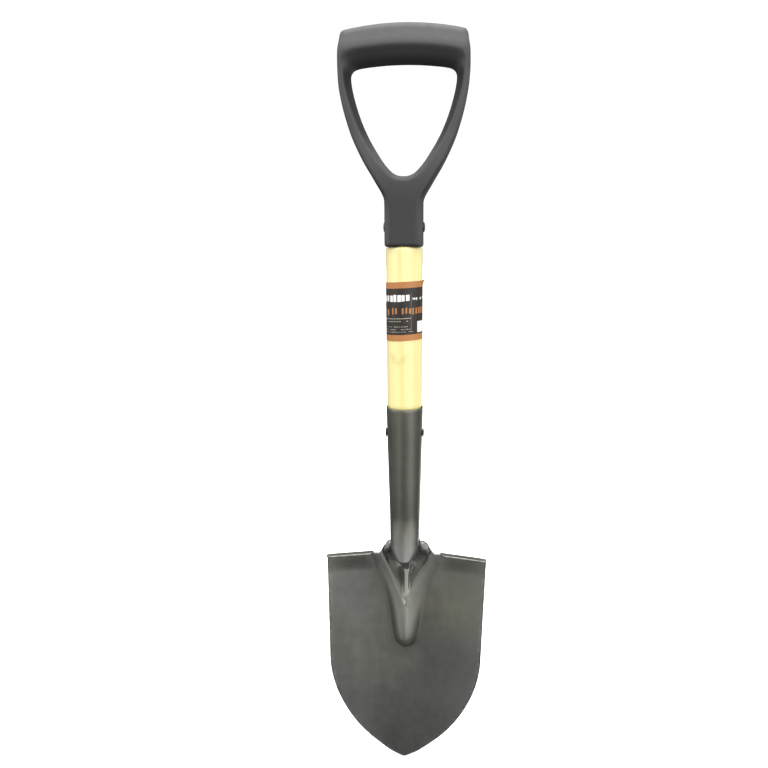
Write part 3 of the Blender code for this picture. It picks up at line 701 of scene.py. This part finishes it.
def build_socket():
    base = np.linspace(0.0, 2 * PI, 120, endpoint=False)
    back = PI / 2
    near = np.radians([-4.0, -2.6, -1.9, -1.55, -1.25, -0.9, -0.4, 0.0,
                       0.4, 0.9, 1.25, 1.55, 1.9, 2.6, 4.0])
    keep = np.abs(base - back) > math.radians(4.5)
    ang = np.sort(np.concatenate([base[keep], back + near]))
    n = len(ang)
    hs = np.concatenate([[H_RIM - 0.7], np.linspace(354.0, 250.0, 40),
                         np.linspace(248.0, 222.5, 30),
                         H_NOSE + (222.0 - H_NOSE) * (np.cos(np.linspace(0, PI / 2, 36)))[:-1],
                         [H_NOSE + 0.04]])
    verts = []
    # inside of the mouth, then the rounded rim, then down the outside
    wall = 1.6
    inner = [(H_RIM - 30.0, -wall), (H_RIM - 1.0, -wall), (H_RIM - 0.35, -wall + 0.22),
             (H_RIM, -wall + 0.7), (H_RIM, -0.6), (H_RIM - 0.2, -0.18)]
    for h, off in inner:
        r = socket_radius(h) + off
        verts.append(np.stack([r * np.cos(ang) * MM, r * np.sin(ang) * MM,
                               np.full(n, zz(h))], 1))
    seam = np.exp(-(((ang - back) / math.radians(1.35)) ** 8))
    for h in hs:
        a, f, b = float(socket_half(h)), float(socket_front(h)), float(socket_back(h))
        mid = 0.0 if h >= H_NECK else -6.0 * (H_NECK - h) / (H_NECK - H_NOSE)
        s = np.sin(ang)
        x = a * np.cos(ang)
        # the lower end is pressed flatter in front
        flat = s * (np.abs(s) + 1e-9) ** (-0.45 * float(smooth(256.0, 224.0, h)))
        y = np.where(s >= 0, mid + (b - mid) * s, mid + (f + mid) * flat)
        depth = 1.5 * seam * float(smooth(234.0, 240.0, h))
        y = y - depth
        verts.append(np.stack([x * MM, y * MM, np.full(n, zz(h))], 1))
    rows = len(verts)
    verts = np.concatenate(verts)
    faces = ring_faces(rows, n, True, False, True)
    faces = [tuple(reversed(f)) for f in faces]
    # plug inside the mouth, hidden under the shaft
    faces.append(tuple(range(n)))
    return make_object("socket_tube", verts, faces, STEEL, "socket", 40.0)


def build_weld(side, name, node):
    """Fillet weld filling the corner between tube and cradle: a leaning lobe."""
    n, m = 72, 48
    tilt = math.radians(46.0)
    th = np.linspace(0.02, PI - 0.02, m)
    ph = np.linspace(0.0, 2 * PI, n, endpoint=False)
    T, P = np.meshgrid(th, ph, indexing="ij")
    ripple = 1.0 + 0.025 * np.sin(T * 9.0)
    lon = 8.8 * np.cos(T)
    wid = 4.6 * np.sin(T) ** 0.9 * np.cos(P) * ripple
    # a little deeper behind than in front
    y = 0.2 + np.where(np.sin(P) > 0.0, 5.4, 4.8) * np.sin(T) ** 0.9 * np.sin(P) * ripple
    # long axis leans from the outer low end to the inner high end
    x = 18.4 - side * 1.5 - lon * math.sin(tilt) * 0.92 + wid * (1.15 + 0.20 * side) * math.cos(tilt)
    h = 212.6 + lon * math.cos(tilt) + wid * math.sin(tilt)
    # stay clear of the tube, which the head's lean brings nearer on one side, and of the cradle
    shift = side * h * math.sin(LEAN)
    for _ in range(3):
        xa = x + shift
        r = np.hypot(xa, y)
        need = socket_half(np.maximum(h, H_NOSE + 1.0)) + 0.2
        grow = np.maximum(1.0, need / np.maximum(r, 0.1))
        x, y = xa * grow - shift, y * grow
        y = np.minimum(y, front_y(x, np.minimum(h, 222.0)) - 0.15)
    verts = leaned(np.stack([side * x * MM, y * MM, zz(h)], 2).reshape(-1, 3))
    faces = ring_faces(m, n, True, True, True)
    if side < 0:
        faces = [tuple(reversed(f)) for f in faces]
    return make_object(name, verts, faces, STEEL, node, None)


# ---------------------------------------------------------------------------
# shaft, rivets, label
# ---------------------------------------------------------------------------
SHAFT_R = 16.5
SKEW = 0.9


def build_shaft():
    n = 128
    tail = lambda h: float(socket_radius(h)) - 1.6 - 0.35
    prof = [(551.5, 12.9), (550.3, 14.15), (503.15, 14.15), (503.15, 15.6), (502.9, 16.1),
            (502.3, 16.45), (501.5, SHAFT_R)]
    prof += [(h, SHAFT_R) for h in np.linspace(498, 404, 24)]
    prof += [(h, SHAFT_R - 0.1 * float(smooth(404, 357, h))) for h in np.linspace(400, 358.2, 14)]
    prof += [(357.5, SHAFT_R - 0.35), (357.1, SHAFT_R - 0.9)]
    prof += [(355.5, tail(356)), (300, tail(300)), (247, tail(247)), (245, tail(245) - 2)]
    ang = np.linspace(0, 2 * PI, n, endpoint=False)
    verts = []
    for h, r in prof:
        verts.append(np.stack([r * np.cos(ang) * MM, r * np.sin(ang) * MM,
                               np.full(n, zz(h))], 1))
    faces = ring_faces(len(prof), n, True, True, True)
    faces = [tuple(reversed(f)) for f in faces]
    return make_object("shaft_wood", np.concatenate(verts), faces, WOOD, "shaft",
                       40.0)


def build_rivet(name, node, h, seat):
    n = 48
    half = [(0.0, 2.5), (seat, 2.5), (seat, 4.1), (seat + 0.12, 4.33), (seat + 0.32, 4.4), (seat + 0.5, 4.36)]
    for a in np.radians(np.linspace(12, 88, 12)):
        half.append((seat + 0.45 + 1.05 * math.sin(a), 4.4 * math.cos(a) ** 0.9))
    prof = [(-x, r) for x, r in reversed(half[1:])] + half[1:]
    ang = np.linspace(0, 2 * PI, n, endpoint=False)
    verts = []
    for x, r in prof:
        verts.append(np.stack([np.full(n, x * MM), r * np.cos(ang) * MM,
                               zz(h) + r * np.sin(ang) * MM], 1))
    faces = ring_faces(len(prof), n, True, True, True)
    faces = [tuple(reversed(f)) for f in faces]
    return make_object(name, np.concatenate(verts), faces, RIVET, node, 35.0)


def build_label():
    """Film wrapped round the shaft, with one upper corner lifting at its end."""
    lo, hi = 421.0, 473.5
    n, m = 220, 44
    us = np.linspace(0.0, 1.0, n + 1)
    vs = np.linspace(0.0, 1.0, m + 1)
    gap = math.radians(2.0)
    ang = PI / 2 + gap + (2 * PI - 2 * gap) * us
    ri, ro = SHAFT_R + 0.12, SHAFT_R + 0.36
    U, V = np.meshgrid(us, vs)
    A = np.meshgrid(ang, vs)[0]
    # wrapped a little on the skew, with the upper edge lifting at the right
    Hh = lo + (hi - lo) * V + SKEW * np.cos(A)
    turn = np.angle(np.exp(1j * (A - math.radians(-4.0))))
    lift = 1.5 * np.exp(-((turn / math.radians(11.0)) ** 2)) * smooth(0.90, 1.0, V)
    layers = []
    for r in (ro, ri):
        rr = r + lift
        layers.append(np.stack([rr * np.cos(A) * MM, rr * np.sin(A) * MM, zz(Hh + 0.5 * lift)], 2).reshape(-1, 3))
    front, back = layers
    quads = []
    w = n + 1
    for j in range(m):
        for i in range(n):
            a = j * w + i
            quads.append((a, a + 1, a + w + 1, a + w))
    verts, faces = sheet_solid(front, back, quads, 0.02 * MM, 2)
    ob = make_object("label_film", verts, faces, FILM, "label_wrap", 30.0)
    uv = ob.data.uv_layers.new(name="UVMap")
    co = np.empty(len(ob.data.vertices) * 3)
    ob.data.vertices.foreach_get("co", co)
    co = co.reshape(-1, 3)
    a = np.mod(np.arctan2(co[:, 1], co[:, 0]) - PI / 2, 2 * PI)
    uu = a / (2 * PI)
    vv = (co[:, 2] / MM + H_HANG - SKEW * np.cos(a + PI / 2) - lo) / (hi - lo)
    li = np.empty(len(ob.data.loops), dtype=np.int64)
    ob.data.loops.foreach_get("vertex_index", li)
    uv.data.foreach_set("uv", np.stack([uu[li], vv[li]], 1).ravel())
    return ob


# ---------------------------------------------------------------------------
# D-grip: rounded, chamfered moulding from its outline
# ---------------------------------------------------------------------------
OUTER = [(0, 687.6), (14, 687.2), (28, 686.0), (40, 684.4), (48.2, 682.9), (52.4, 681.5), (54.1, 678.2),
         (54.8, 673), (55.9, 666), (56.3, 657), (56.2, 647.5), (55.0, 635), (52.6, 622),
         (49.1, 609), (44.7, 596), (38.8, 583), (33.5, 573), (29.2, 566), (22.9, 555.6),
         (19.1, 549.2), (17.3, 544.6), (17.0, 540.0), (17.0, 530), (17.05, 515), (17.1, 500), (17.1, 480)]
INNER = [(0, 654.0), (13, 653.7), (26, 652.7), (36, 651.5), (41.4, 650.0), (44.2, 647.2), (44.9, 643.0), (44.0, 635),
         (40.7, 622), (36.2, 609), (30.3, 596), (22.7, 583), (15.8, 573), (8.2, 565.6), (0, 563.6)]


def outline(points, per):
    right = list(points)
    start = 1
    stop = len(right) - 1 if right[-1][0] == 0 else len(right)
    left = [(-x, h) for x, h in reversed(right[start:stop])]
    return spline(right + left, per)


def signed_distance(poly, X, H):
    """Signed distance to a closed polygon, negative inside."""
    best = np.full(X.shape, 1e9)
    inside = np.zeros(X.shape, bool)
    for (x0, h0), (x1, h1) in zip(poly, np.roll(poly, -1, axis=0)):
        dx, dh = x1 - x0, h1 - h0
        L = dx * dx + dh * dh
        if L < 1e-12:
            continue
        t = np.clip(((X - x0) * dx + (H - h0) * dh) / L, 0, 1)
        best = np.minimum(best, (X - x0 - t * dx) ** 2 + (H - h0 - t * dh) ** 2)
        if h0 != h1:
            cross = ((h0 > H) != (h1 > H)) & (X < dx * (H - h0) / (h1 - h0 if h1 != h0 else 1) + x0)
            inside ^= cross
    d = np.sqrt(best)
    return np.where(inside, -d, d)


def bilinear(grid, x0, h0, step, x, h):
    fx = np.clip((x - x0) / step, 0, grid.shape[0] - 1.001)
    fh = np.clip((h - h0) / step, 0, grid.shape[1] - 1.001)
    i, j = fx.astype(int), fh.astype(int)
    u, v = fx - i, fh - j
    return (grid[i, j] * (1 - u) * (1 - v) + grid[i + 1, j] * u * (1 - v)
            + grid[i, j + 1] * (1 - u) * v + grid[i + 1, j + 1] * u * v)


def smax(a, b, k):
    d = np.maximum(k - np.abs(a - b), 0.0) / k
    return np.maximum(a, b) + d * d * k * 0.25


class GripField:
    def __init__(self):
        self.step = 0.5
        self.x0, self.h0 = -66.0, 488.0
        xs = np.arange(self.x0, 66.01, self.step)
        hs = np.arange(self.h0, 700.01, self.step)
        X, H = np.meshgrid(xs, hs, indexing="ij")
        self.out = signed_distance(outline(OUTER, 6), X, H)
        self.inn = signed_distance(outline(INNER, 6), X, H)
        table = lambda *rows: soft_table([r[0] for r in rows], [r[1] for r in rows], 3.0)
        self.depth = table((700, 15.2), (660, 15.2), (648, 14.2), (630, 13.2), (600, 13.0), (580, 14.6),
                           (566, 16.2), (556, 17.0), (548, 17.5), (540, 17.6), (500, 17.6))
        # width and slope of the broad bevels towards the opening and the outside
        self.in_w = table((700, 14.0), (657, 14.0), (648, 6.8), (620, 6.1), (590, 5.5), (575, 5.2), (560, 4.6), (500, 4.6))
        self.in_k = table((700, 0.66), (657, 0.66), (646, 1.45), (600, 1.5), (575, 1.2), (560, 1.1), (500, 1.1))
        self.out_w = table((700, 6.5), (640, 6.5), (620, 5.5), (600, 4.2), (585, 3.2), (570, 2.4), (552, 2.4),
                           (538, 6.2), (500, 6.2))
        self.out_k = table((700, 0.50), (600, 0.50), (570, 0.7), (545, 0.85), (500, 0.85))

    def roof(self, x, h, a, b):
        """Half depth of the moulding at a place inside its outline."""
        ramp = lambda t: 0.5 * (t + np.sqrt(t * t + 0.35))
        d = self.depth(h)
        inner = self.in_k(h) * ramp(self.in_w(h) + b)
        outer = self.out_k(h) * ramp(self.out_w(h) + a)
        rel = 687.6 - (h + x * x / 573.0)
        upper = 0.45 * ramp(20.5 - rel) * smooth(640.0, 656.0, h)
        drop = smax(smax(inner, outer, 1.2), upper, 2.4)
        return d - drop

    def __call__(self, x, y, h):
        a = bilinear(self.out, self.x0, self.h0, self.step, x, h)
        b = -bilinear(self.inn, self.x0, self.h0, self.step, x, h)
        plan = smax(a, b, 1.0)
        face = (np.abs(y) - self.roof(x, h, np.minimum(a, 0.0), np.minimum(b, 0.0))) * 0.85
        bar = smooth(636.0, 654.0, h)
        f = smax(plan, face, 3.2) * (1.0 - bar) + smax(plan, face, 7.0) * bar
        # lower rim with a rounded break, then the bore
        rim = 503.5 - h
        f = smax(f, rim, 3.2)
        bore = np.maximum(np.hypot(x, y) - 14.5, h - 553.0)
        return np.maximum(f, -bore)


def surface_nets(F, origin, step):
    """Closed quad mesh of the zero level of a sampled field."""
    neg = F < 0
    shape = np.array(F.shape) - 1
    nx, ny, nz = shape
    corners = [(i, j, k) for i in (0, 1) for j in (0, 1) for k in (0, 1)]
    total = np.zeros(tuple(shape), np.int8)
    for i, j, k in corners:
        total += neg[i:i + nx, j:j + ny, k:k + nz]
    active = (total > 0) & (total < 8)
    cells = np.argwhere(active)
    index = np.full(tuple(shape), -1, np.int64)
    index[active] = np.arange(len(cells))
    acc = np.zeros((len(cells), 3))
    num = np.zeros(len(cells))
    ci, cj, ck = cells.T
    for ax in range(3):
        for u in (0, 1):
            for v in (0, 1):
                o = [u, v]
                o.insert(ax, 0)
                e = list(o)
                e[ax] = 1
                fa = F[ci + o[0], cj + o[1], ck + o[2]]
                fb = F[ci + e[0], cj + e[1], ck + e[2]]
                hit = (fa < 0) != (fb < 0)
                t = np.where(hit, fa / np.where(hit, fa - fb, 1.0), 0.0)
                p = np.array(o, float)[None, :].repeat(len(cells), 0)
                p[:, ax] = t
                acc[hit] += p[hit]
                num[hit] += 1
    pts = origin + (cells + acc / num[:, None]) * step
    quads = []
    for ax in range(3):
        b, c = [(1, 2), (2, 0), (0, 1)][ax]
        lo = [slice(None)] * 3
        hi = [slice(None)] * 3
        lo[ax] = slice(0, F.shape[ax] - 1)
        hi[ax] = slice(1, F.shape[ax])
        diff = neg[tuple(lo)] != neg[tuple(hi)]
        at = np.argwhere(diff)
        ok = (at[:, b] > 0) & (at[:, c] > 0) & (at[:, b] < shape[b]) & (at[:, c] < shape[c])
        at = at[ok]
        ids = []
        for db, dc in ((-1, -1), (0, -1), (0, 0), (-1, 0)):
            p = at.copy()
            p[:, b] += db
            p[:, c] += dc
            ids.append(index[p[:, 0], p[:, 1], p[:, 2]])
        q = np.stack(ids, 1)
        flip = ~neg[at[:, 0], at[:, 1], at[:, 2]]
        q[flip] = q[flip][:, ::-1]
        quads.append(q)
    return pts, np.concatenate(quads)


def build_grip():
    field = GripField()
    step = 0.85
    xs = np.arange(-59.5, 59.6, step)
    ys = np.arange(-19.55, 19.6, step)
    hs = np.arange(500.9, 691.0, step)
    X, Y, H = np.meshgrid(xs, ys, hs, indexing="ij")
    F = field(X, Y, H)
    pts, quads = surface_nets(F, np.array([xs[0], ys[0], hs[0]]), step)

    def grad(p, e=0.12):
        g = np.empty_like(p)
        for k in range(3):
            d = np.zeros(3)
            d[k] = e
            a, b = p + d, p - d
            g[:, k] = field(a[:, 0], a[:, 1], a[:, 2]) - field(b[:, 0], b[:, 1], b[:, 2])
        return g / (2 * e)

    # relax the vertices along the surface, then settle them on it
    nb = np.concatenate([quads[:, [0, 1]], quads[:, [1, 2]], quads[:, [2, 3]], quads[:, [3, 0]]])
    nb = np.concatenate([nb, nb[:, ::-1]])
    deg = np.bincount(nb[:, 0], minlength=len(pts)).astype(float)
    for _ in range(3):
        avg = np.stack([np.bincount(nb[:, 0], weights=pts[nb[:, 1], k], minlength=len(pts))
                        for k in range(3)], 1) / deg[:, None]
        pts = pts + 0.5 * (avg - pts)
        for _ in range(2):
            g = grad(pts)
            f = field(pts[:, 0], pts[:, 1], pts[:, 2])
            g2 = np.maximum((g * g).sum(1), 0.2)
            pts = pts - np.clip(f / g2, -0.6, 0.6)[:, None] * g
    verts = np.stack([pts[:, 0] * MM, pts[:, 1] * MM, zz(pts[:, 2])], 1)
    ob = make_object("grip_moulding", verts, quads, PLASTIC, "d_grip", None)
    # how far each point lies on a bevel towards the opening, for the painted shade there
    h = pts[:, 2]
    off = bilinear(field.inn, field.x0, field.h0, field.step, pts[:, 0], h) / field.in_w(h)
    inner = smooth(0.94, 0.58, off) * smooth(572.0, 604.0, h) * smooth(653.0, 645.0, h)
    at = ob.data.attributes.new("inner", "FLOAT", "POINT")
    at.data.foreach_set("value", inner)
    # and how near the long corners of the neck, for the painted light there
    side = -bilinear(field.out, field.x0, field.h0, field.step, pts[:, 0], h)
    at = ob.data.attributes.new("corner", "FLOAT", "POINT")
    at.data.foreach_set("value", smooth(5.6, 2.2, side) * smooth(552.0, 542.0, h))
    return ob


build_blade()
build_socket()
build_weld(-1, "weld_left", "neck_weld_left")
build_weld(1, "weld_right", "neck_weld_right")
build_shaft()
build_grip()
build_rivet("rivet_grip", "grip_rivet", 521.0, 17.0 + 0.15)
build_rivet("rivet_socket", "socket_rivet", 331.0, float(socket_radius(331.0)) + 0.25)
build_label()

# ---------------------------------------------------------------------------
# floor, light, camera
# ---------------------------------------------------------------------------
FLOOR_Z = float(zz(0.0)) - 0.0005


def build_floor():
    n = Nodes("pale_floor")
    spot = n.noise(n.mapped((1, 1, 1)), 3.0, 3.0, 0.5)
    n.link(n.ramp(spot, [(0.3, (0.90, 0.90, 0.90)), (0.7, (0.92, 0.92, 0.92))]),
           n.bsdf.inputs["Base Color"])
    n.bsdf.inputs["Roughness"].default_value = 0.9
    n.bsdf.inputs["Specular IOR Level"].default_value = 0.1
    n.bsdf.inputs["Emission Color"].default_value = (1.0, 1.0, 1.0, 1.0)
    n.bsdf.inputs["Emission Strength"].default_value = 0.35
    mesh = bpy.data.meshes.new("floor")
    s = 30.0
    mesh.from_pydata([(-s, -s, FLOOR_Z), (s, -s, FLOOR_Z), (s, s, FLOOR_Z), (-s, s, FLOOR_Z)],
                     [], [(0, 1, 2, 3)])
    mesh.materials.append(n.mat)
    ob = bpy.data.objects.new("floor", mesh)
    bpy.context.scene.collection.objects.link(ob)
    ob.visible_diffuse = False
    ob.visible_glossy = False


build_floor()
# soft studio light: a bright ceiling that fades to a dark floor, as (height, strength),
# and large soft boxes, as (degrees right of the front, degrees up, tightness, strength);
# the one of negative strength is a dark flag behind
CEILING = ((-0.50, 0.03), (-0.40, 0.05), (-0.28, 0.11), (-0.05, 0.42), (0.17, 0.63),
           (0.41, 0.82), (0.67, 1.45), (0.90, 2.50), (1.00, 4.60))
BOXES = ((50.0, -16.0, 12.0, 0.52), (38.0, 2.0, 20.0, 1.15), (10.0, 6.0, 40.0, 1.40),
         (-30.0, -18.0, 30.0, 0.45), (-45.0, -5.0, 20.0, 0.35),
         (-70.0, 12.0, 20.0, 1.40), (72.0, 12.0, 20.0, 0.90), (180.0, 28.0, 5.0, -1.00),
         (150.0, -30.0, 30.0, 1.60), (-150.0, -30.0, 30.0, 0.35))
LIGHT = 1.42


def build_world():
    """White surround for the eye; the studio's light for everything else."""
    world = bpy.data.worlds.new("studio")
    world.use_nodes = True
    tree = world.node_tree
    bg = tree.nodes["Background"]
    way = tree.nodes.new("ShaderNodeTexCoord").outputs["Generated"]
    sep = tree.nodes.new("ShaderNodeSeparateXYZ")
    tree.links.new(way, sep.inputs[0])

    def op(kind, a, b=0.0):
        m = tree.nodes.new("ShaderNodeMath")
        m.operation = kind
        for sock, v in zip(m.inputs, (a, b)):
            if isinstance(v, (int, float)):
                sock.default_value = v
            else:
                tree.links.new(v, sock)
        return m.outputs[0]

    ramp = tree.nodes.new("ShaderNodeValToRGB")
    top = CEILING[-1][1]
    stops = ramp.color_ramp.elements
    while len(stops) < len(CEILING):
        stops.new(0.5)
    for stop, (z, v) in zip(stops, CEILING):
        stop.position = (z + 1.0) / 2.0
        stop.color = (v / top, v / top, v / top, 1.0)
    tree.links.new(op("MULTIPLY", op("ADD", sep.outputs[2], 1.0), 0.5), ramp.inputs["Fac"])
    room = op("MULTIPLY", ramp.outputs["Color"], top)
    for az, el, tight, power in BOXES:
        a, e = math.radians(az), math.radians(el)
        dot = tree.nodes.new("ShaderNodeVectorMath")
        dot.operation = "DOT_PRODUCT"
        tree.links.new(way, dot.inputs[0])
        dot.inputs[1].default_value = (math.sin(a) * math.cos(e), -math.cos(a) * math.cos(e), math.sin(e))
        lobe = op("EXPONENT", op("MULTIPLY", op("SUBTRACT", dot.outputs["Value"], 1.0), tight))
        room = op("ADD", room, op("MULTIPLY", lobe, power))
    room = op("MULTIPLY", op("MAXIMUM", room, 0.0), LIGHT)
    seen = tree.nodes.new("ShaderNodeLightPath").outputs["Is Camera Ray"]
    strength = op("ADD", op("MULTIPLY", room, op("SUBTRACT", 1.0, seen)), op("MULTIPLY", seen, 1.05))
    bg.inputs["Color"].default_value = (1.0, 1.0, 1.0, 1.0)
    tree.links.new(strength, bg.inputs["Strength"])
    bpy.context.scene.world = world


build_world()
bpy.context.scene.view_settings.view_transform = "Standard"
bpy.context.scene.view_settings.look = "None"

cam_data = bpy.data.cameras.new("camera")
cam_data.sensor_width = 36.0
cam_data.lens = 620.0 / 768.0 * 36.0
cam_data.shift_x = -20.6 / 768.0
cam = bpy.data.objects.new("camera", cam_data)
AZ, PITCH, DIST = math.radians(3.0), math.radians(11.75), 0.570
cam.location = (DIST * math.sin(AZ), -DIST * math.cos(AZ), float(zz(496.7)))
ROLL = math.radians(-0.145)
cam.rotation_euler = (Matrix.Rotation(AZ, 3, "Z") @ Matrix.Rotation(PI / 2 - PITCH, 3, "X")
                      @ Matrix.Rotation(ROLL, 3, "Z")).to_euler()
bpy.context.scene.collection.objects.link(cam)
bpy.context.scene.camera = cam
